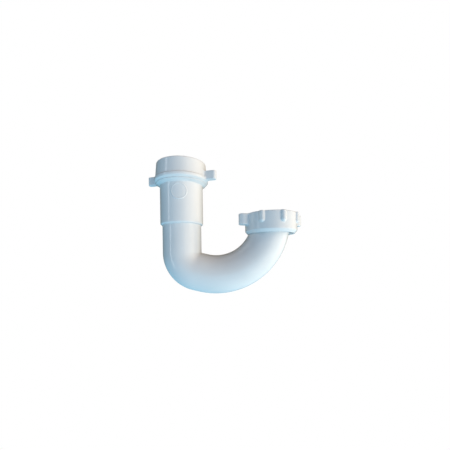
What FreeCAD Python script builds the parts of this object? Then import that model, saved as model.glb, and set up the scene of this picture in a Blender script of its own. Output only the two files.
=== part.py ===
"""P trap J-bend with a slip nut on its inlet and a captive union nut on its outlet.

Frame: the origin is on the inlet axis, where the straight wall of the inlet bore
begins. +Z runs up out of the inlet, +X points from the inlet leg to the outlet, and
the bend lies in the XZ plane. Lengths are in millimetres. Levels are heights in that
frame, and bearings are degrees from +X, anticlockwise from above.
"""
import FreeCAD, Part

import math
import os

import Sketcher

# ---------------------------------------------------------------- driving sizes

SIZES = {
    # the bent tube
    "tube_od": 38.1,
    "tube_wall": 1.8,
    "leg_spacing": 88.9,
    "stop_level": -37.4,
    "elbow_level": -79.1,
    "elbow_radius": 19.6,
    "run_fall": 13.5,
    "sweep_radius": 54.8,
    "outlet_level": -43.0,
    # the socket cemented on the inlet leg
    "mouth_level": 2.6,
    "mouth_bore": 43.6,
    "socket_bore": 38.6,
    "socket_od": 42.0,
    "socket_bottom": -52.1,
    "foot_round": 1.0,
    "collar_od": 48.8,
    "collar_top": -11.3,
    "collar_edge": 0.4,
    "collar_bottom": -13.6,
    "badge_od": 15.5,
    "badge_level": -22.9,
    "badge_rise": 0.35,
    "badge_bearing": 272.7,
    # the slip-joint thread between socket and nut
    "thread_pitch": 2.208696,
    "screw_major": 46.4,
    "screw_minor": 44.6,
    "nut_major": 47.0,
    "nut_minor": 45.2,
    "crest_width": 0.6,
    "root_width": 1.25,
    "thread_start": -9.8,
    "screw_turns": 5.0,
    "nut_turns": 4.0,
    # the inlet slip nut
    "slip_top": 8.1,
    "slip_roof": 5.1,
    "slip_hole": 39.0,
    "slip_chamber_od": 45.8,
    "slip_chamber_level": 2.8,
    "slip_top_od": 48.4,
    "slip_ledge": -6.8,
    "slip_ledge_od": 50.9,
    "slip_band_od": 53.0,
    "slip_band_bottom": -9.4,
    "slip_bottom": -11.1,
    "slip_bottom_od": 49.4,
    "slip_rim_round": 0.9,
    "slip_wing_length": 8.6,
    "slip_wing_width": 5.4,
    "slip_wing_bearing": -15.6,
    "slip_wing_reach": 36.6,
    # the washers
    "washer_bore": 38.7,
    "taper_od": 45.0,
    "taper_top": 5.02,
    "taper_shoulder": 3.5,
    "taper_tip": 0.6,
    "flat_washer_od": 43.4,
    "flat_washer_height": 1.2,
    # the flange cemented on the outlet
    "flange_od": 46.4,
    "flange_height": 2.4,
    # the outlet union nut
    "union_top": -42.5,
    "union_wall_bottom": -59.2,
    "union_bottom": -62.0,
    "union_od": 51.2,
    "union_bottom_od": 46.4,
    "union_major": 48.8,
    "union_minor": 47.2,
    "union_turns": 4.0,
    "union_thread_start": -52.3,
    "lip_top": -58.6,
    "lip_bore": 44.0,
    "lip_mouth": 45.2,
    "rib_length": 10.8,
    "rib_width": 5.8,
    "rib_reach": 27.8,
    "union_wing_length": 11.0,
    "union_wing_width": 8.4,
    "union_wing_bearing": -163.6,
    "union_wing_reach": 33.8,
    # where the wings and ribs of both nuts start, inside the wall
    "lug_root": 24.8,
}

WING_COUNT = 2
RIB_COUNT = 8

doc = FreeCAD.newDocument("p_trap")
sheet = doc.addObject("Spreadsheet::Sheet", "sizes")
for row, (alias, value) in enumerate(SIZES.items(), start=1):
    sheet.set(f"A{row}", str(value))
    sheet.setAlias(f"A{row}", alias)
doc.recompute()


class Length:
    """A size that carries its number and the sheet expression that gives it."""

    def __init__(self, text, number):
        self.text = text
        self.number = float(number)

    def combine(self, sign, other, number):
        text = other.text if isinstance(other, Length) else f"{float(other)}"
        return Length(f"({self.text} {sign} {text})", number)

    def __float__(self):
        return self.number

    def __add__(self, other):
        return self.combine("+", other, self.number + float(other))

    def __sub__(self, other):
        return self.combine("-", other, self.number - float(other))

    def __mul__(self, other):
        return self.combine("*", other, self.number * float(other))

    def __truediv__(self, other):
        return self.combine("/", other, self.number / float(other))


def size(alias):
    return Length(f"sizes.{alias}", sheet.get(alias))


def bind(target, prop, length):
    target.setExpression(prop, length.text)


ZERO = Length("0", 0)

# ---------------------------------------------------------------- building blocks


def new_body(label, at_outlet=False):
    body = doc.addObject("PartDesign::Body", label)
    body.Label = label
    if at_outlet:
        bind(body, "Placement.Base.x", size("leg_spacing"))
    return body


def origin_feature(body, role):
    return next(part for part in body.Origin.OriginFeatures if part.Role == role)


def new_sketch(body, name, role):
    sketch = body.newObject("Sketcher::SketchObject", name)
    sketch.AttachmentSupport = (origin_feature(body, role), [""])
    sketch.MapMode = "FlatFace"
    return sketch


def dimension(sketch, kind, place, length):
    """One dimension of a sketch, bound to the sheet."""
    number = sketch.addConstraint(Sketcher.Constraint(kind, *place, float(length)))
    bind(sketch, f"Constraints[{number}]", length)


def outline(body, name, role, corners):
    """A closed outline of straight sides through (across, up) corners."""
    sketch = new_sketch(body, name, role)
    points = [FreeCAD.Vector(float(across), float(up), 0) for across, up in corners]
    for start, end in zip(points, points[1:] + points[:1]):
        sketch.addGeometry(Part.LineSegment(start, end), False)
    for side in range(len(points)):
        following = (side + 1) % len(points)
        sketch.addConstraint(Sketcher.Constraint("Coincident", side, 2, following, 1))
    for side, (across, up) in enumerate(corners):
        dimension(sketch, "DistanceX", (-1, 1, side, 1), across)
        dimension(sketch, "DistanceY", (-1, 1, side, 1), up)
    return sketch


def revolve(body, name, corners):
    """Turn an outline of (radius, level) corners about the body's Z axis."""
    turned = body.newObject("PartDesign::Revolution", name)
    turned.Profile = outline(body, name + "_outline", "XZ_Plane", corners)
    turned.ReferenceAxis = (turned.Profile[0], ["V_Axis"])
    turned.Angle = 360.0
    return turned


def thread_ridge(body, root, crest, start, turns):
    """A helical ridge from the root radius to the crest radius."""
    half_root, half_crest = size("root_width") / 2, size("crest_width") / 2
    corners = [
        (root, start - half_root),
        (crest, start - half_crest),
        (crest, start + half_crest),
        (root, start + half_root),
    ]
    ridge = body.newObject("PartDesign::AdditiveHelix", "thread")
    ridge.Profile = outline(body, "thread_outline", "XZ_Plane", corners)
    ridge.ReferenceAxis = (ridge.Profile[0], ["V_Axis"])
    ridge.Mode = "pitch-turns-angle"
    bind(ridge, "Pitch", size("thread_pitch"))
    bind(ridge, "Turns", turns)


def repeat(body, name, originals, times):
    """Copy features evenly around the body's Z axis."""
    pattern = body.newObject("PartDesign::PolarPattern", name)
    pattern.Originals = originals
    pattern.Axis = (origin_feature(body, "Z_Axis"), [""])
    pattern.Angle = 360.0
    pattern.Occurrences = times
    body.Tip = pattern


def add_lugs(body, name, count, reach, width, length, level, bearing):
    """Evenly spaced upright lugs with round outer edges, standing on a level."""
    sketch = new_sketch(body, name + "_outline", "XY_Plane")
    root, half = size("lug_root"), width / 2
    tip_centre = reach - half
    low_root = FreeCAD.Vector(float(root), -float(half), 0)
    high_root = FreeCAD.Vector(float(root), float(half), 0)
    low_tip = FreeCAD.Vector(float(tip_centre), -float(half), 0)
    high_tip = FreeCAD.Vector(float(tip_centre), float(half), 0)
    centre = FreeCAD.Vector(float(tip_centre), 0, 0)
    circle = Part.Circle(centre, FreeCAD.Vector(0, 0, 1), float(half))
    sketch.addGeometry(Part.LineSegment(low_root, low_tip), False)
    sketch.addGeometry(Part.ArcOfCircle(circle, -math.pi / 2, math.pi / 2), False)
    sketch.addGeometry(Part.LineSegment(high_tip, high_root), False)
    sketch.addGeometry(Part.LineSegment(high_root, low_root), False)
    sketch.addConstraint(Sketcher.Constraint("Tangent", 0, 2, 1, 1))
    sketch.addConstraint(Sketcher.Constraint("Tangent", 1, 2, 2, 1))
    sketch.addConstraint(Sketcher.Constraint("Coincident", 2, 2, 3, 1))
    sketch.addConstraint(Sketcher.Constraint("Coincident", 3, 2, 0, 1))
    sketch.addConstraint(Sketcher.Constraint("Vertical", 3))
    sketch.addConstraint(Sketcher.Constraint("PointOnObject", 1, 3, -1))
    dimension(sketch, "DistanceX", (-1, 1, 0, 1), root)
    dimension(sketch, "DistanceX", (-1, 1, 1, 3), tip_centre)
    dimension(sketch, "Radius", (1,), half)
    bind(sketch, "AttachmentOffset.Base.z", level)
    bind(sketch, "AttachmentOffset.Rotation.Angle", bearing)
    lug = body.newObject("PartDesign::Pad", name)
    lug.Profile = sketch
    bind(lug, "Length", length)
    repeat(body, name + "s", [lug], count)


def round_circle(body, name, radius, circle_radius, level):
    """Round the circular edge of a given radius and level about the Z axis."""
    doc.recompute()
    edges = []
    for number, edge in enumerate(body.Tip.Shape.Edges, start=1):
        curve = edge.Curve
        if not isinstance(curve, Part.Circle):
            continue
        here = FreeCAD.Vector(0, 0, float(level))
        if curve.Center.isEqual(here, 1e-4) and abs(curve.Radius - float(circle_radius)) < 1e-4:
            edges.append(f"Edge{number}")
    base = body.Tip
    fillet = body.newObject("PartDesign::Fillet", name)
    fillet.Base = (base, edges)
    bind(fillet, "Radius", radius)


def boolean(kind, label, base, tool):
    result = doc.addObject(kind, label)
    result.Label = label
    result.Base = base
    result.Tool = tool
    return result


# ---------------------------------------------------------------- the bent tube


def centre_line(body):
    """Leg, tight elbow, short falling run, large sweep and tail, all tangent."""
    path = new_sketch(body, "centre_line", "XZ_Plane")
    fall = math.radians(float(size("run_fall")))
    level = float(size("elbow_level"))
    tight = float(size("elbow_radius"))
    wide = float(size("sweep_radius"))
    spacing = float(size("leg_spacing"))
    along = FreeCAD.Vector(math.cos(fall), -math.sin(fall), 0)
    inward = FreeCAD.Vector(math.sin(fall), math.cos(fall), 0)
    upright = FreeCAD.Vector(0, 0, 1)

    leg_top = FreeCAD.Vector(0, float(size("stop_level")), 0)
    leg_end = FreeCAD.Vector(0, level, 0)
    elbow_centre = FreeCAD.Vector(tight, level, 0)
    run_start = elbow_centre - inward * tight
    sweep_start_x = spacing - wide - inward.x * wide
    run_end = run_start + along * ((sweep_start_x - run_start.x) / along.x)
    sweep_centre = run_end + inward * wide
    tail_start = sweep_centre + FreeCAD.Vector(wide, 0, 0)
    mouth = FreeCAD.Vector(spacing, float(size("outlet_level")), 0)
    run_bearing = 1.5 * math.pi - fall
    elbow = Part.Circle(elbow_centre, upright, tight)
    sweep = Part.Circle(sweep_centre, upright, wide)

    path.addGeometry(Part.LineSegment(leg_top, leg_end), False)
    path.addGeometry(Part.ArcOfCircle(elbow, math.pi, run_bearing), False)
    path.addGeometry(Part.LineSegment(run_start, run_end), False)
    path.addGeometry(Part.ArcOfCircle(sweep, run_bearing, 2 * math.pi), False)
    path.addGeometry(Part.LineSegment(tail_start, mouth), False)
    for piece in range(4):
        path.addConstraint(Sketcher.Constraint("Tangent", piece, 2, piece + 1, 1))
    path.addConstraint(Sketcher.Constraint("PointOnObject", 0, 1, -2))
    path.addConstraint(Sketcher.Constraint("Vertical", 0))
    path.addConstraint(Sketcher.Constraint("Vertical", 4))
    dimension(path, "DistanceY", (-1, 1, 0, 1), size("stop_level"))
    dimension(path, "DistanceY", (-1, 1, 0, 2), size("elbow_level"))
    dimension(path, "Radius", (1,), size("elbow_radius"))
    dimension(path, "Radius", (3,), size("sweep_radius"))
    dimension(path, "DistanceX", (-1, 1, 4, 2), size("leg_spacing"))
    dimension(path, "DistanceY", (-1, 1, 4, 2), size("outlet_level"))
    number = path.addConstraint(Sketcher.Constraint("Angle", 2, -fall))
    bind(path, f"Constraints[{number}]", size("run_fall") * Length("-1 deg", -1))
    return path


def make_trap_bend():
    body = new_body("trap_bend")
    path = centre_line(body)
    outer = size("tube_od") / 2
    inner = outer - size("tube_wall")
    section = new_sketch(body, "tube_section", "XY_Plane")
    for radius in (outer, inner):
        circle = Part.Circle(FreeCAD.Vector(), FreeCAD.Vector(0, 0, 1), float(radius))
        number = section.addGeometry(circle, False)
        section.addConstraint(Sketcher.Constraint("Coincident", number, 3, -1, 1))
        dimension(section, "Radius", (number,), radius)
    bind(section, "AttachmentOffset.Base.z", size("stop_level"))
    tube = body.newObject("PartDesign::AdditivePipe", "tube")
    tube.Profile = section
    tube.Spine = (path, [f"Edge{number}" for number in range(1, 6)])
    doc.recompute()
    length = sum(edge.Length for edge in path.Shape.Edges)
    ring = math.pi * (float(outer) ** 2 - float(inner) ** 2)
    print(f"tube {length:.1f} long, {tube.Shape.Volume:.0f} of {ring * length:.0f} mm3")
    return body


# ---------------------------------------------------------------- the inlet side


def make_badge():
    """A plain round pad, slightly raised and curved with the socket's wall."""
    band_height = size("badge_od") + 2
    band_bottom = size("badge_level") - band_height / 2
    shells = []
    for name, radius in (
        ("badge_shell", size("socket_od") / 2 + size("badge_rise")),
        ("badge_core", size("socket_od") / 2 - size("badge_rise")),
    ):
        shell = doc.addObject("Part::Cylinder", name)
        bind(shell, "Radius", radius)
        bind(shell, "Height", band_height)
        bind(shell, "Placement.Base.z", band_bottom)
        shells.append(shell)
    disc = doc.addObject("Part::Cylinder", "badge_disc")
    bind(disc, "Radius", size("badge_od") / 2)
    bind(disc, "Height", size("socket_od"))
    bearing = FreeCAD.Rotation(FreeCAD.Vector(0, 0, 1), float(size("badge_bearing")))
    outward = bearing.multVec(FreeCAD.Vector(1, 0, 0))
    lying = FreeCAD.Rotation(FreeCAD.Vector(0, 0, 1), outward)
    level = FreeCAD.Vector(0, 0, float(size("badge_level")))
    disc.Placement = FreeCAD.Placement(level, lying)
    return boolean("Part::Common", "badge", boolean("Part::Cut", "badge_band", *shells), disc)


def make_inlet_socket():
    """Hub with a slip bore, a washer seat at its mouth, a male thread and a collar."""
    hub = new_body("hub")
    bore, mouth = size("socket_bore") / 2, size("mouth_bore") / 2
    minor, collar = size("screw_minor") / 2, size("collar_od") / 2
    outside, tube = size("socket_od") / 2, size("tube_od") / 2
    corners = [
        (mouth, size("mouth_level")),
        (minor, size("mouth_level")),
        (minor, size("collar_top")),
        (collar, size("collar_top")),
        (collar, size("collar_top") - size("collar_edge")),
        (outside, size("collar_bottom")),
        (outside, size("socket_bottom")),
        (tube, size("socket_bottom")),
        (tube, size("stop_level")),
        (bore, size("stop_level")),
        (bore, ZERO),
    ]
    revolve(hub, "turned", corners)
    round_circle(hub, "foot", size("foot_round"), outside, size("socket_bottom"))
    crest = size("screw_major") / 2
    thread_ridge(hub, minor - 0.2, crest, size("thread_start"), size("screw_turns"))
    return boolean("Part::Fuse", "inlet_socket", hub, make_badge())


def make_inlet_slip_nut():
    body = new_body("inlet_slip_nut")
    hole, chamber, bore = size("slip_hole") / 2, size("slip_chamber_od") / 2, size("nut_major") / 2
    chamfer = 0.5
    corners = [
        (hole, size("slip_top")),
        (hole, size("slip_roof")),
        (chamber, size("slip_roof")),
        (chamber, size("slip_chamber_level")),
        (bore, size("slip_chamber_level") + chamber - bore),
        (bore, size("slip_bottom") + chamfer),
        (bore + chamfer, size("slip_bottom")),
        (size("slip_bottom_od") / 2, size("slip_bottom")),
        (size("slip_band_od") / 2, size("slip_band_bottom")),
        (size("slip_band_od") / 2, size("slip_ledge")),
        (size("slip_ledge_od") / 2, size("slip_ledge")),
        (size("slip_top_od") / 2, size("slip_top")),
    ]
    revolve(body, "shell", corners)
    rim = size("slip_top_od") / 2
    round_circle(body, "rim", size("slip_rim_round"), rim, size("slip_top"))
    add_lugs(
        body,
        "wing",
        WING_COUNT,
        reach=size("slip_wing_reach"),
        width=size("slip_wing_width"),
        length=size("slip_wing_length"),
        level=size("slip_band_bottom"),
        bearing=size("slip_wing_bearing"),
    )
    start = size("thread_start") + size("thread_pitch") / 2
    thread_ridge(body, bore + 0.2, size("nut_minor") / 2, start, size("nut_turns"))
    return body


def make_inlet_bevel_washer():
    body = new_body("inlet_bevel_washer")
    bore, rim = size("washer_bore") / 2, size("taper_od") / 2
    taper = size("taper_shoulder") - size("taper_tip")
    corners = [
        (bore, size("taper_top")),
        (bore, size("taper_tip")),
        (rim - taper, size("taper_tip")),
        (rim, size("taper_shoulder")),
        (rim, size("taper_top")),
    ]
    revolve(body, "washer", corners)
    return body


# ---------------------------------------------------------------- the outlet side


def make_ring(label, bore, rim, bottom, top):
    body = new_body(label, at_outlet=True)
    revolve(body, "ring", [(bore, top), (bore, bottom), (rim, bottom), (rim, top)])
    return body


def make_outlet_flange_ring():
    level = size("outlet_level")
    bore, rim = size("tube_od") / 2, size("flange_od") / 2
    return make_ring("outlet_flange_ring", bore, rim, level - size("flange_height"), level)


def make_outlet_seal_washer():
    level = size("outlet_level")
    bore, rim = size("tube_od") / 2 - size("tube_wall"), size("flat_washer_od") / 2
    return make_ring("outlet_seal_washer", bore, rim, level, level + size("flat_washer_height"))


def make_outlet_union_nut():
    body = new_body("outlet_union_nut", at_outlet=True)
    bore, rim = size("union_major") / 2, size("union_od") / 2
    lip_top = size("lip_top")
    chamfer = 0.5
    corners = [
        (bore, size("union_top") - chamfer),
        (bore, lip_top + bore - size("lip_bore") / 2),
        (size("lip_bore") / 2, lip_top),
        (size("lip_mouth") / 2, size("union_bottom")),
        (size("union_bottom_od") / 2, size("union_bottom")),
        (rim, size("union_wall_bottom")),
        (rim, size("union_top")),
        (bore + chamfer, size("union_top")),
    ]
    revolve(body, "shell", corners)
    add_lugs(
        body,
        "rib",
        RIB_COUNT,
        reach=size("rib_reach"),
        width=size("rib_width"),
        length=size("rib_length"),
        level=size("union_top") - size("rib_length"),
        bearing=size("union_wing_bearing"),
    )
    add_lugs(
        body,
        "wing",
        WING_COUNT,
        reach=size("union_wing_reach"),
        width=size("union_wing_width"),
        length=size("union_wing_length"),
        level=size("union_top") - size("union_wing_length"),
        bearing=size("union_wing_bearing"),
    )
    crest = size("union_minor") / 2
    thread_ridge(body, bore + 0.2, crest, size("union_thread_start"), size("union_turns"))
    return body


# ---------------------------------------------------------------- check and write

pieces = [
    make_trap_bend(),
    make_inlet_socket(),
    make_inlet_slip_nut(),
    make_inlet_bevel_washer(),
    make_outlet_flange_ring(),
    make_outlet_seal_washer(),
    make_outlet_union_nut(),
]
doc.recompute()

for made in doc.Objects:
    if {"Invalid", "Error"} & set(made.State):
        raise SystemExit(f"{made.Label} failed: {made.State}")
for piece in pieces:
    if piece.Shape.isNull() or not piece.Shape.isValid():
        raise SystemExit(f"{piece.Label} has no valid shape")

os.makedirs("parts", exist_ok=True)
for piece in pieces:
    piece.Shape.exportStep(f"parts/{piece.Label}.step")
    print(f"{piece.Label}: {len(piece.Shape.Solids)} solid, {piece.Shape.Volume / 1000:.2f} cm3")
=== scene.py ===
"""Looks of a tubular P trap bend with a winged nut on each end.

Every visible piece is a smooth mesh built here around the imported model, on the same
sizes. Working sizes are in millimetres and meshes are written in metres.
"""
import math

import bpy
import numpy as np
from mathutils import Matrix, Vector


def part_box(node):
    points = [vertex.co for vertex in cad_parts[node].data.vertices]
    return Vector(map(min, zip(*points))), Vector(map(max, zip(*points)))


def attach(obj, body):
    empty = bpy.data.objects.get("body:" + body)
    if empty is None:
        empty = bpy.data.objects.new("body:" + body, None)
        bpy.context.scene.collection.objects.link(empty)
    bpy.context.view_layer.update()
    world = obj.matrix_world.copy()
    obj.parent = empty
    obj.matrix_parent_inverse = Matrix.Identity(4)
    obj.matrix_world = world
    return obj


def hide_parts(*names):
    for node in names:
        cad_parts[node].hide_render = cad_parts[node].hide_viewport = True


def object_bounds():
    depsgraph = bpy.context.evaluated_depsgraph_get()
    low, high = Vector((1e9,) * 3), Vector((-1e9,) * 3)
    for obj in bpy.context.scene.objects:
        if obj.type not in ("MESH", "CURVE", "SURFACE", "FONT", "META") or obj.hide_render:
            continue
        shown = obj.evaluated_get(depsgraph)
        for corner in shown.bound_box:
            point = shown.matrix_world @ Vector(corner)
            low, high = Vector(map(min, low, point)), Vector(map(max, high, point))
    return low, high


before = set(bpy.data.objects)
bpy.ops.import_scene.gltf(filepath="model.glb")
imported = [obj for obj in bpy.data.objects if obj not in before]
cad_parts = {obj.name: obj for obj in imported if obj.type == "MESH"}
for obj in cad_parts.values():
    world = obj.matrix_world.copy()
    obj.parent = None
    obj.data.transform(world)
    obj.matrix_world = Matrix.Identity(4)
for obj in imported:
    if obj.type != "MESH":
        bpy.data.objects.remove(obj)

cad_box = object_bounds()
MM = 0.001


def box_mm(node):
    """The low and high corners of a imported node's box, in millimetres."""
    low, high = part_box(node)
    return np.array(low) / MM, np.array(high) / MM


# ---------------------------------------------------------------- places from the frame

SOCKET_LOW, SOCKET_HIGH = box_mm("inlet_socket")
SLIP_LOW, SLIP_HIGH = box_mm("inlet_slip_nut")
UNION_LOW, UNION_HIGH = box_mm("outlet_union_nut")
FLANGE_LOW, FLANGE_HIGH = box_mm("outlet_flange_ring")
TAPER_LOW, TAPER_HIGH = box_mm("inlet_bevel_washer")
SEAL_LOW, SEAL_HIGH = box_mm("outlet_seal_washer")
OUTLET_X = (FLANGE_LOW[0] + FLANGE_HIGH[0]) / 2
OUTLET_LEVEL = FLANGE_HIGH[2]

# ---------------------------------------------------------------- sizes

TUBE_RADIUS = 19.05
TUBE_WALL = 1.8
STOP_LEVEL = -37.4
ELBOW_LEVEL = -79.1
ELBOW_RADIUS = 19.6
RUN_FALL = math.radians(13.5)
SWEEP_RADIUS = 54.8
PITCH = 2.208696
THREAD_START = -9.8
THREAD_DEPTH = 0.9
SLIP_BEARING = math.radians(-15.6)
SLIP_REACH = 36.59
SLIP_WING = 8.6
UNION_BEARING = math.radians(-163.6)
UNION_REACH = 33.79
UNION_WING = 11.0
UNION_RIBS = 8
WING_ROOT = 24.9  # how far out both nuts' wings start, inside their walls
SEAT_GAP = 0.02  # a cemented fitting's clearance on the tube
AROUND = 160  # points around a plain turned piece
ARC_POINTS = 7  # points on each rounded corner of an outline
NET_CELL = 0.38  # grid size of the two nuts' meshes
NET_FINE = 0.08  # and its finest step, at their edges

# ---------------------------------------------------------------- mesh building


def make_mesh(name, points, faces):
    """A smooth-shaded object from points in millimetres and quads."""
    points = np.asarray(points, dtype=np.float64)
    faces = np.asarray(faces, dtype=np.int32)
    mesh = bpy.data.meshes.new(name)
    mesh.vertices.add(len(points))
    mesh.vertices.foreach_set("co", (points * MM).ravel())
    mesh.loops.add(faces.size)
    mesh.loops.foreach_set("vertex_index", faces.ravel())
    mesh.polygons.add(len(faces))
    mesh.polygons.foreach_set("loop_start", np.arange(0, faces.size, 4, dtype=np.int32))
    mesh.update(calc_edges=True)
    mesh.validate()
    mesh.polygons.foreach_set("use_smooth", np.ones(len(faces), dtype=bool))
    piece = bpy.data.objects.new(name, mesh)
    bpy.context.scene.collection.objects.link(piece)
    return piece


def ring_faces(rings, around):
    """Quads between closed rings, the last ring joined to the first."""
    i, j = np.meshgrid(np.arange(rings), np.arange(around), indexing="ij")
    ni, nj = (i + 1) % rings, (j + 1) % around
    quads = np.stack([i * around + j, i * around + nj, ni * around + nj, ni * around + j], -1)
    return quads.reshape(-1, 4)


def rounded_outline(corners, step):
    """A closed outline with each corner (radius, level, rounding) turned into an arc.

    A fourth value at a corner is the spacing of points from there to the next corner.
    """
    points, spacing = [], []
    count = len(corners)
    for k in range(count):
        own_step = corners[k][3] if len(corners[k]) > 3 else step
        here = np.array(corners[k][:2], float)
        before = np.array(corners[k - 1][:2], float) - here
        after = np.array(corners[(k + 1) % count][:2], float) - here
        a, b = before / np.linalg.norm(before), after / np.linalg.norm(after)
        rounding = corners[k][2]
        if rounding <= 0:
            points.append(here)
            spacing.append(own_step)
            continue
        half = math.acos(np.clip(a @ b, -1, 1)) / 2
        reach = rounding / math.tan(half)
        centre = here + (a + b) / np.linalg.norm(a + b) * rounding / math.sin(half)
        start, end = here + a * reach - centre, here + b * reach - centre
        turn = math.atan2(start[0] * end[1] - start[1] * end[0], start @ end)
        for t in np.linspace(0, turn, ARC_POINTS):
            c, s = math.cos(t), math.sin(t)
            turned = [c * start[0] - s * start[1], s * start[0] + c * start[1]]
            points.append(centre + np.array(turned))
            spacing.append(own_step)
    out = []
    for p, q, gap in zip(points, points[1:] + points[:1], spacing):
        n = max(1, math.ceil(np.linalg.norm(q - p) / gap))
        out += [p + (q - p) * m / n for m in range(n)]
    return np.array(out)


def even_turn():
    """Equal steps round a full circle."""
    return np.linspace(0, 2 * math.pi, AROUND, endpoint=False)


def lathe(name, corners, turn, centre_x=0.0, step=0.6, shift=None):
    """Turn an outline to each angle in turn; shift(radius, level, angle) moves radii."""
    outline = rounded_outline(corners, step)
    around = len(turn)
    radius, angles = np.meshgrid(outline[:, 0], turn, indexing="ij")
    level = np.repeat(outline[:, 1][:, None], around, 1)
    if shift:
        radius = radius + shift(radius, level, angles)
    points = np.stack([centre_x + radius * np.cos(angles), radius * np.sin(angles), level], -1)
    area = 0.5 * np.sum(
        outline[:, 0] * np.roll(outline[:, 1], -1) - np.roll(outline[:, 0], -1) * outline[:, 1]
    )
    faces = ring_faces(len(outline), around)
    if area > 0:
        faces = faces[:, ::-1]
    return make_mesh(name, points.reshape(-1, 3), faces)


def net_levels(cell, fine, spans):
    """Grid levels through each span (from, to): fine at its ends and coarser between."""
    levels = []
    for start, end in zip(spans, spans[1:]):
        count = max(2, round((end - start) / cell))
        even = np.linspace(start, end, count, endpoint=False)
        levels += [start, start + fine, *even[1:], end - fine]
    below = [spans[0] - 2 * cell, spans[0] - cell, spans[0] - fine]
    above = [spans[-1], spans[-1] + fine, spans[-1] + cell, spans[-1] + 2 * cell]
    return np.array(below + levels + above)


def surface_net(name, field, half_x, half_y, levels, centre_x=0.0):
    """The smooth zero surface of field(x, y, z), meshed with quads on a fine grid.

    Each grid cell that the surface passes through gets one point. The points are then
    drawn onto the surface in a few Newton steps.
    """
    cell = NET_CELL
    axes = [np.arange(-half - 2 * cell, half + 3 * cell, cell) for half in (half_x, half_y)]
    axes.append(levels)
    value = field(*np.meshgrid(*axes, indexing="ij"))
    inside = value < 0
    shape = np.array(value.shape) - 1
    corner = [slice(0, -1), slice(1, None)]
    count = sum(
        inside[corner[i], corner[j], corner[k]].astype(np.int8)
        for i in (0, 1) for j in (0, 1) for k in (0, 1)
    )
    mixed = (count > 0) & (count < 8)
    number = np.full(shape, -1, np.int64)
    number[mixed] = np.arange(mixed.sum())
    cells = np.argwhere(mixed)
    total, hits = np.zeros((len(cells), 3)), np.zeros(len(cells))
    for axis in range(3):
        for u in (0, 1):
            for v in (0, 1):
                a = cells.copy()
                others = [n for n in range(3) if n != axis]
                a[:, others[0]] += u
                a[:, others[1]] += v
                b = a.copy()
                b[:, axis] += 1
                fa, fb = value[tuple(a.T)], value[tuple(b.T)]
                cut = (fa < 0) != (fb < 0)
                t = np.where(cut, fa / np.where(cut, fa - fb, 1), 0)
                total[cut] += (a + t[:, None] * (b - a))[cut]
                hits += cut
    place = (total / hits[:, None]).T
    points = np.stack([np.interp(p, np.arange(len(a)), a) for p, a in zip(place, axes)], 1)
    faces = []
    for axis in range(3):
        u, v = (axis + 1) % 3, (axis + 2) % 3
        here = [slice(1, -1)] * 3
        here[axis] = slice(0, -1)
        there = list(here)
        there[axis] = slice(1, None)
        a, b = inside[tuple(here)], inside[tuple(there)]
        edges = np.argwhere(a != b)
        starts_inside = a[tuple(edges.T)]
        base = edges.copy()
        base[:, [u, v]] += 1
        around = []
        for du, dv in ((-1, -1), (0, -1), (0, 0), (-1, 0)):
            at = base.copy()
            at[:, u] += du
            at[:, v] += dv
            around.append(number[tuple(at.T)])
        quad = np.stack(around, 1)
        quad[~starts_inside] = quad[~starts_inside][:, ::-1]
        faces.append(quad)
    small, newton_steps, gentlest = cell * 0.02, 4, 0.25
    for _ in range(newton_steps):
        x, y, z = points.T
        here = field(x, y, z)
        slope = np.stack([
            field(x + small, y, z) - field(x - small, y, z),
            field(x, y + small, z) - field(x, y - small, z),
            field(x, y, z + small) - field(x, y, z - small),
        ], 1) / (2 * small)
        step = here[:, None] * slope / np.maximum((slope ** 2).sum(1), gentlest)[:, None]
        points = points - np.clip(step, -cell / 3, cell / 3)
    points[:, 0] += centre_x
    return make_mesh(name, points, np.concatenate(faces))


def smooth_max(a, b, blend):
    """The greater of two fields, rounded over where they are about equal."""
    h = np.clip(0.5 + 0.5 * (a - b) / blend, 0, 1)
    return b + (a - b) * h + blend * h * (1 - h)


def smooth_min(a, b, blend):
    """The lesser of two fields, with a fillet where they are about equal."""
    return -smooth_max(-a, -b, blend)


def slope_through(radius, level, start, end):
    """Signed distance to the straight line from start to end, solid on its left."""
    along = np.array(end, float) - np.array(start, float)
    along /= np.linalg.norm(along)
    return (radius - start[0]) * along[1] - (level - start[1]) * along[0]


def helix_ridge(level, angle, start, first, last, fade=0.5):
    """0 to 1 across each turn of a right-hand thread between two levels."""
    half_root, flank = 0.62, 0.32
    phase = (level - start) / PITCH - angle / (2 * math.pi)
    off = np.abs(phase - np.round(phase)) * PITCH
    ridge = np.clip((half_root - off) / flank, 0, 1)
    ridge = ridge * ridge * (3 - 2 * ridge)
    ends = np.clip((level - first) / fade, 0, 1) * np.clip((last - level) / fade, 0, 1)
    return ridge * ends


# ---------------------------------------------------------------- the bent tube


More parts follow.
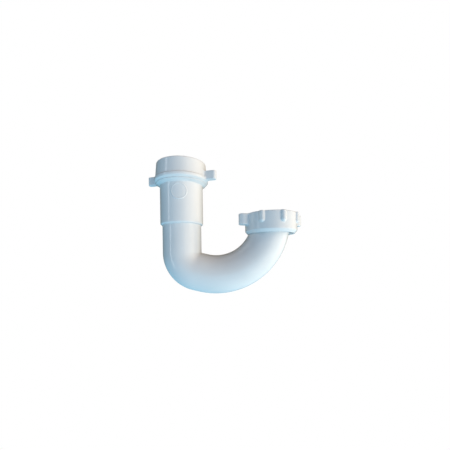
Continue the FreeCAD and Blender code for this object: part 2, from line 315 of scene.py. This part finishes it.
def centre_line_frames():
    """Stations along the centre line: their places (x, z) and the directions outward."""
    along = np.array([math.cos(RUN_FALL), -math.sin(RUN_FALL)])
    inward = np.array([math.sin(RUN_FALL), math.cos(RUN_FALL)])
    elbow_centre = np.array([ELBOW_RADIUS, ELBOW_LEVEL])
    run_start = elbow_centre - inward * ELBOW_RADIUS
    run_end_x = OUTLET_X - SWEEP_RADIUS - inward[0] * SWEEP_RADIUS
    run_end = run_start + along * (run_end_x - run_start[0]) / along[0]
    sweep_centre = run_end + inward * SWEEP_RADIUS
    places, sides = [], []

    def add_straight(start, end, side, count):
        for t in np.linspace(0, 1, count, endpoint=False):
            places.append(start + (end - start) * t)
            sides.append(side)

    def add_arc(centre, radius, first, last, count):
        for t in np.linspace(first, last, count, endpoint=False):
            out = np.array([math.cos(t), math.sin(t)])
            places.append(centre + radius * out)
            sides.append(out)

    left, right = np.array([-1.0, 0.0]), np.array([1.0, 0.0])
    turned = 1.5 * math.pi - RUN_FALL
    add_straight(np.array([0.0, STOP_LEVEL]), np.array([0.0, ELBOW_LEVEL]), left, 24)
    add_arc(elbow_centre, ELBOW_RADIUS, math.pi, turned, 64)
    add_straight(run_start, run_end, -inward, 6)
    add_arc(sweep_centre, SWEEP_RADIUS, turned, 2 * math.pi, 110)
    mouth = np.array([OUTLET_X, OUTLET_LEVEL])
    add_straight(sweep_centre + right * SWEEP_RADIUS, mouth, right, 4)
    places.append(mouth)
    sides.append(right)
    return np.array(places), np.array(sides)


def make_tube():
    """The bent tube as one closed skin: out along the outside, back along the bore."""
    places, sides = centre_line_frames()
    angle = even_turn()
    rings = []

    def add_ring(place, side, radius):
        x = place[0] + radius * np.cos(angle) * side[0]
        z = place[1] + radius * np.cos(angle) * side[1]
        y = radius * np.sin(angle)
        rings.append(np.stack([x, y, z], 1))

    for place, side in zip(places, sides):
        add_ring(place, side, TUBE_RADIUS)
    for place, side in zip(places[::-1], sides[::-1]):
        add_ring(place, side, TUBE_RADIUS - TUBE_WALL)
    faces = ring_faces(len(rings), AROUND)
    return make_mesh("bend_tube", np.concatenate(rings), faces[:, ::-1])


# ---------------------------------------------------------------- the inlet side


def make_socket():
    """The cemented hub: threaded neck, collar, plain wall with its round badge, and foot."""
    top = SOCKET_HIGH[2]
    foot = SOCKET_LOW[2]
    mouth, minor, bore, outside = 21.8, 22.3, 19.3, 21.0
    seat = TUBE_RADIUS + SEAT_GAP
    collar, collar_top, collar_foot = 24.4, -11.22, -13.6
    badge_level, badge_radius, badge_rise, badge_rim, badge_dish = -22.9, 7.75, 0.35, 0.9, 0.45
    badge_angle = math.radians(272.7)
    badge_foot = badge_level - badge_radius - 1
    plain, fine = 1.5, 0.2
    corners = [
        (mouth, top, 0.15),
        (minor, top, 0.2, 0.28),
        (minor, collar_top, 0.3),
        (collar, collar_top, 0.12),
        (collar, collar_top - 0.5, 0.12),
        (outside, collar_foot, 0.9, fine),
        (outside, badge_foot, 0, plain),
        (outside, foot, 1.7),
        (seat, foot, 0.15, plain),
        (seat, STOP_LEVEL, 0),
        (bore, STOP_LEVEL, 0, plain),
        (bore, 0.0, 0.2),
    ]

    def shift(radius, level, angle):
        on_neck = (radius > minor - 0.1) & (radius < minor + 0.1) & (level > collar_top)
        thread = helix_ridge(level, angle, THREAD_START, -10.9, 1.9) * THREAD_DEPTH * on_neck
        turn = (angle - badge_angle + math.pi) % (2 * math.pi) - math.pi
        away = np.hypot(turn * outside, level - badge_level)
        rise = np.clip((badge_radius - away) / 0.3, 0, 1)
        dish = np.clip((badge_radius - badge_rim - away) / 0.4, 0, 1)
        rise = badge_rise * (rise - badge_dish * dish * dish * (3 - 2 * dish))
        rise = rise * ((radius > outside - 0.05) & (np.abs(turn) < 1))
        return thread + rise

    half = (badge_radius + 1) / outside
    start, end = badge_angle - half, badge_angle + half
    over_badge = np.linspace(start, end, 110, endpoint=False)
    elsewhere = np.linspace(end, start + 2 * math.pi, 220, endpoint=False)
    turn = np.concatenate([over_badge, elsewhere])
    return lathe("socket", corners, turn, step=0.4, shift=shift)


def wings(x, y, z, bearing, reach, half_width, low, high, edge):
    """A pair of opposite wings: upright plates with round tips."""
    c, s = math.cos(bearing), math.sin(bearing)
    along, across = np.abs(x * c + y * s), -x * s + y * c
    side = np.hypot(np.maximum(along - (reach - half_width), 0), across) - half_width
    plate = np.maximum(side, WING_ROOT - along)
    return smooth_max(smooth_max(plate, z - high, edge), low - z, edge)


def make_slip_nut():
    """The inlet's nut: a tapered cup on a wider band, two wings and a threaded bore."""
    top, bottom = SLIP_HIGH[2], SLIP_LOW[2]
    ledge, band_foot = -6.8, -9.4
    wall_foot_radius, wall_top_radius = 25.45, 24.2
    band_radius, foot_radius = 26.5, 24.5
    roof, thread_top = 5.1, 2.5
    thread_root, chamber_radius, hole_radius = 23.5, 22.9, 19.5

    def field(x, y, z):
        radius, angle = np.hypot(x, y), np.arctan2(y, x)
        wall = slope_through(radius, z, (wall_foot_radius, ledge), (wall_top_radius, top))
        cup = smooth_max(smooth_max(wall, z - top, 1.0), ledge - 1.0 - z, 0.1)
        chamfer = slope_through(radius, z, (foot_radius, bottom), (band_radius, band_foot))
        band = smooth_max(smooth_max(radius - band_radius, z - ledge, 0.35), chamfer, 0.5)
        shell = smooth_min(cup, band, 1.1)
        wing_top = band_foot + SLIP_WING
        pair = wings(x, y, z, SLIP_BEARING, SLIP_REACH, 2.7, band_foot, wing_top, 0.9)
        shell = smooth_min(shell, pair, 2.2)
        shell = smooth_max(shell, bottom - z, 0.15)
        start = THREAD_START + PITCH / 2
        thread = helix_ridge(z, angle, start, bottom + 0.6, 1.6) * THREAD_DEPTH
        bore = radius - (thread_root - thread)
        hollow = np.where(z > thread_top, radius - chamber_radius, bore)
        hollow = np.minimum(smooth_max(hollow, z - roof, 0.3), radius - hole_radius)
        return smooth_max(shell, -hollow, 0.35)

    levels = net_levels(NET_CELL, NET_FINE, [bottom, band_foot, ledge, roof, top])
    return surface_net("slip_nut", field, 38, 27, levels)


def make_taper_washer():
    """The sealing washer between the slip nut and the hub: a 45 degree bevel below."""
    low, high = TAPER_LOW[2], TAPER_HIGH[2]
    bore, rim, shoulder = 19.35, TAPER_HIGH[0], 3.5
    corners = [
        (bore, high, 0.2),
        (rim, high, 0.25),
        (rim, shoulder, 0.3),
        (rim - shoulder + low, low, 0.1),
        (bore, low, 0.1),
    ]
    return lathe("bevel_washer", corners, even_turn())


# ---------------------------------------------------------------- the outlet side


def make_union_nut():
    """The outlet's nut: a round wall with ribs and two wings, a threaded bore and a lip."""
    top, bottom = UNION_HIGH[2], UNION_LOW[2]
    wall_radius, wall_foot, foot_radius = 25.6, -59.2, 23.2
    rib_crest, rib_radius, rib_length = 27.79, 2.9, 10.8
    thread_start, thread_low, thread_root, thread_depth = -52.3, -53.4, 24.4, 0.8
    lip_mouth, lip_bore, lip_top = 22.6, 22.0, -58.6
    bore_foot = lip_top + thread_root - lip_bore
    step = 2 * math.pi / UNION_RIBS

    def field(x, y, z):
        radius, angle = np.hypot(x, y), np.arctan2(y, x)
        chamfer = slope_through(radius, z, (foot_radius, bottom), (wall_radius, wall_foot))
        shell = smooth_max(radius - wall_radius, chamfer, 0.4)
        turn = (angle - UNION_BEARING + step / 2) % step - step / 2
        along = radius * np.cos(turn) - (rib_crest - rib_radius)
        across = radius * np.sin(turn)
        below = np.minimum(z - (top - rib_length + rib_radius), 0)
        rib = np.sqrt(along * along + across * across + below * below) - rib_radius
        shell = smooth_min(shell, rib, 0.5)
        wing_foot = top - UNION_WING
        pair = wings(x, y, z, UNION_BEARING, UNION_REACH, 4.2, wing_foot, top, 1.0)
        shell = smooth_min(shell, pair, 1.2)
        shell = smooth_max(smooth_max(shell, z - top, 0.8), bottom - z, 0.3)
        thread = helix_ridge(z, angle, thread_start, thread_low, top - 0.9) * thread_depth
        bore = radius - (thread_root - thread)
        lip = slope_through(radius, z, (lip_mouth, bottom), (lip_bore, lip_top))
        rise = slope_through(radius, z, (lip_bore, lip_top), (thread_root, bore_foot))
        hollow = np.minimum(np.maximum(bore, rise), np.maximum(lip, z - bore_foot))
        return smooth_max(shell, -hollow, 0.35)

    levels = net_levels(NET_CELL, NET_FINE, [bottom, wall_foot, top - UNION_WING, top])
    return surface_net("union_nut", field, 35, 28, levels, OUTLET_X)


def make_outlet_ring(name, bore, low, high, edge):
    """A flat ring about the outlet axis, filling its solid's box."""
    rim = high[0] - OUTLET_X
    corners = [
        (bore, high[2], 0.1),
        (rim, high[2], edge),
        (rim, low[2], edge),
        (bore, low[2], 0.1),
    ]
    return lathe(name, corners, even_turn(), centre_x=OUTLET_X)


# ---------------------------------------------------------------- materials


PLASTIC_IOR = 1.53
MOTTLE_SCALE = 55.0
MOTTLE_DEPTH = 0.04
SKIN_SCALE = 900.0
SKIN_HEIGHT = 0.0004


def new_material(name, colour, roughness, bump=0.02):
    """Moulded plastic: faint mottling, uneven gloss and a fine skin texture."""
    material = bpy.data.materials.new(name)
    material.use_nodes = True
    nodes, links = material.node_tree.nodes, material.node_tree.links
    shader = nodes["Principled BSDF"]
    shader.inputs["IOR"].default_value = PLASTIC_IOR
    coordinates = nodes.new("ShaderNodeTexCoord")
    clouds = nodes.new("ShaderNodeTexNoise")
    clouds.inputs["Scale"].default_value = MOTTLE_SCALE
    clouds.inputs["Detail"].default_value = 4.0
    links.new(coordinates.outputs["Object"], clouds.inputs["Vector"])
    tone = nodes.new("ShaderNodeValToRGB")
    tone.color_ramp.elements[0].position = 0.3
    tone.color_ramp.elements[0].color = [c * (1 - MOTTLE_DEPTH) for c in colour] + [1]
    tone.color_ramp.elements[1].position = 0.7
    tone.color_ramp.elements[1].color = list(colour) + [1]
    links.new(clouds.outputs["Fac"], tone.inputs["Fac"])
    links.new(tone.outputs["Color"], shader.inputs["Base Color"])
    gloss = nodes.new("ShaderNodeMapRange")
    gloss.inputs["To Min"].default_value = roughness * 0.85
    gloss.inputs["To Max"].default_value = roughness * 1.2
    links.new(clouds.outputs["Fac"], gloss.inputs["Value"])
    links.new(gloss.outputs["Result"], shader.inputs["Roughness"])
    skin = nodes.new("ShaderNodeTexNoise")
    skin.inputs["Scale"].default_value = SKIN_SCALE
    skin.inputs["Detail"].default_value = 3.0
    links.new(coordinates.outputs["Object"], skin.inputs["Vector"])
    relief = nodes.new("ShaderNodeBump")
    relief.inputs["Strength"].default_value = bump
    relief.inputs["Distance"].default_value = SKIN_HEIGHT
    links.new(skin.outputs["Fac"], relief.inputs["Height"])
    links.new(relief.outputs["Normal"], shader.inputs["Normal"])
    return material


def dress(piece, material, body, node):
    """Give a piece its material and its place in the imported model."""
    piece.data.materials.clear()
    piece.data.materials.append(material)
    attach(piece, body)
    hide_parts(node)


WHITE = (0.80, 0.81, 0.82)
tube_white = new_material("tube_white_pvc", WHITE, 0.15)
moulded_white = new_material("moulded_white_pvc", WHITE, 0.16)
nut_white = new_material("nut_white_pvc", WHITE, 0.18)
poly_white = new_material("washer_polythene", (0.7, 0.72, 0.72), 0.4, bump=0.05)
rubber_black = new_material("washer_rubber", (0.03, 0.03, 0.032), 0.6, bump=0.15)

dress(make_tube(), tube_white, "trap", "trap_bend")
dress(make_socket(), moulded_white, "trap", "inlet_socket")
flange_bore, seal_bore = TUBE_RADIUS + SEAT_GAP, TUBE_RADIUS - TUBE_WALL
flange = make_outlet_ring("outlet_flange", flange_bore, FLANGE_LOW, FLANGE_HIGH, 0.4)
seal = make_outlet_ring("seal_washer", seal_bore, SEAL_LOW, SEAL_HIGH, 0.3)
dress(flange, moulded_white, "trap", "outlet_flange_ring")
dress(make_slip_nut(), nut_white, "inlet_nut", "inlet_slip_nut")
dress(make_union_nut(), nut_white, "outlet_nut", "outlet_union_nut")
dress(make_taper_washer(), poly_white, "inlet_washer", "inlet_bevel_washer")
dress(seal, rubber_black, "outlet_washer", "outlet_seal_washer")

# ---------------------------------------------------------------- studio


def make_strip(place, target, width, height, power, colour):
    """A narrow upright panel, for the thin highlight down the left of the part."""
    light = bpy.data.lights.new("strip", "AREA")
    light.shape = "RECTANGLE"
    light.size, light.size_y = width, height
    light.energy = power
    light.color = colour
    holder = bpy.data.objects.new("strip", light)
    bpy.context.scene.collection.objects.link(holder)
    holder.location = place
    holder.rotation_euler = (target - place).to_track_quat("-Z", "Y").to_euler()


def add_node(tree, kind, **values):
    """A new node in the tree, with its settings."""
    node = tree.nodes.new(kind)
    for name, value in values.items():
        setattr(node, name, value)
    return node


def seen_white(tree, glow):
    """White where the camera looks straight at it, and the glow for every other ray."""
    path = add_node(tree, "ShaderNodeLightPath")
    white = add_node(tree, "ShaderNodeBackground")
    white.inputs["Color"].default_value = (1, 1, 1, 1)
    white.inputs["Strength"].default_value = 1.0
    choice = add_node(tree, "ShaderNodeMixShader")
    tree.links.new(path.outputs["Is Camera Ray"], choice.inputs["Fac"])
    tree.links.new(glow, choice.inputs[1])
    tree.links.new(white.outputs[0], choice.inputs[2])
    return choice.outputs[0]


def soft_sum(tree, base, patches):
    """The base colour, plus each patch (value, from, to, colour) faded in by its value."""
    total = add_node(tree, "ShaderNodeVectorMath", operation="ADD").outputs[0]
    total.node.inputs[0].default_value = base
    total.node.inputs[1].default_value = (0, 0, 0)
    for value, start, full, colour in patches:
        ramp = add_node(tree, "ShaderNodeMapRange", interpolation_type="SMOOTHSTEP")
        ramp.inputs["From Min"].default_value = start
        ramp.inputs["From Max"].default_value = full
        tree.links.new(value, ramp.inputs["Value"])
        tint = add_node(tree, "ShaderNodeVectorMath", operation="SCALE")
        tint.inputs[0].default_value = colour
        tree.links.new(ramp.outputs["Result"], tint.inputs["Scale"])
        add = add_node(tree, "ShaderNodeVectorMath", operation="ADD")
        tree.links.new(total, add.inputs[0])
        tree.links.new(tint.outputs[0], add.inputs[1])
        total = add.outputs[0]
    return total


def make_world(base, lobes):
    """A studio whose walls glow in broad soft patches: (direction, spread, colour)."""
    world = bpy.data.worlds.new("studio")
    bpy.context.scene.world = world
    world.use_nodes = True
    tree = world.node_tree
    backing = tree.nodes["Background"]
    facing = add_node(tree, "ShaderNodeTexCoord")
    patches = []
    for direction, (start, full), colour in lobes:
        dot = add_node(tree, "ShaderNodeVectorMath", operation="DOT_PRODUCT")
        dot.inputs[1].default_value = Vector(direction).normalized()
        tree.links.new(facing.outputs["Generated"], dot.inputs[0])
        patches.append((dot.outputs["Value"], start, full, colour))
    tree.links.new(soft_sum(tree, base, patches), backing.inputs["Color"])
    output = tree.nodes["World Output"]
    tree.links.new(seen_white(tree, backing.outputs[0]), output.inputs["Surface"])


low_corner, high_corner = cad_box
MIDDLE = Vector(((low_corner[0] + high_corner[0]) / 2, 0, (low_corner[2] + high_corner[2]) / 2))
WALLS = (0.09, 0.07, 0.02)
LOBES = [
    ((0.94, -0.34, 0.15), (0.45, 0.95), (1.7, 1.44, 1.18)),  # right: the main warm light
    ((0.0, -0.95, 0.3), (0.3, 0.95), (0.0, 0.03, 0.16)),  # front: a little blue
    ((0.0, 0.0, -1.0), (0.0, 0.3), (0.13, 0.45, 0.7)),  # the whole lower half: cyan-blue
    ((0.8, 0.0, -0.6), (0.4, 0.95), (0.75, 0.65, 0.5)),  # right and below: warm
    ((0.1, -0.8, -0.6), (0.6, 1.0), (0.17, 0.32, 0.4)),  # front and below: pale blue
]
STRIP_PLACE = MIDDLE + Vector((-0.53, -0.27, 0.05))
make_world(WALLS, LOBES)
make_strip(STRIP_PLACE, MIDDLE, width=0.02, height=0.7, power=0.5, colour=(0.9, 0.95, 1.0))
bpy.context.scene.view_settings.view_transform = "Standard"

# ---------------------------------------------------------------- camera

CAMERA_PLACE = (0.0425, -0.250, -0.0902)
FRAME_WIDTH = 0.451  # how much of the trap's own plane the frame spans
CAMERA_ROLL = math.radians(-0.8)
CAMERA_SHIFT = 0.0847
SENSOR_WIDTH = 36
camera_data = bpy.data.cameras.new("camera")
camera_data.sensor_width = SENSOR_WIDTH
camera_data.lens = SENSOR_WIDTH * -CAMERA_PLACE[1] / FRAME_WIDTH
camera_data.shift_y = CAMERA_SHIFT
camera = bpy.data.objects.new("camera", camera_data)
camera.location = CAMERA_PLACE
camera.rotation_euler = (math.radians(90), 0, 0)
camera.rotation_euler.rotate_axis("Z", CAMERA_ROLL)
bpy.context.scene.collection.objects.link(camera)
bpy.context.scene.camera = camera
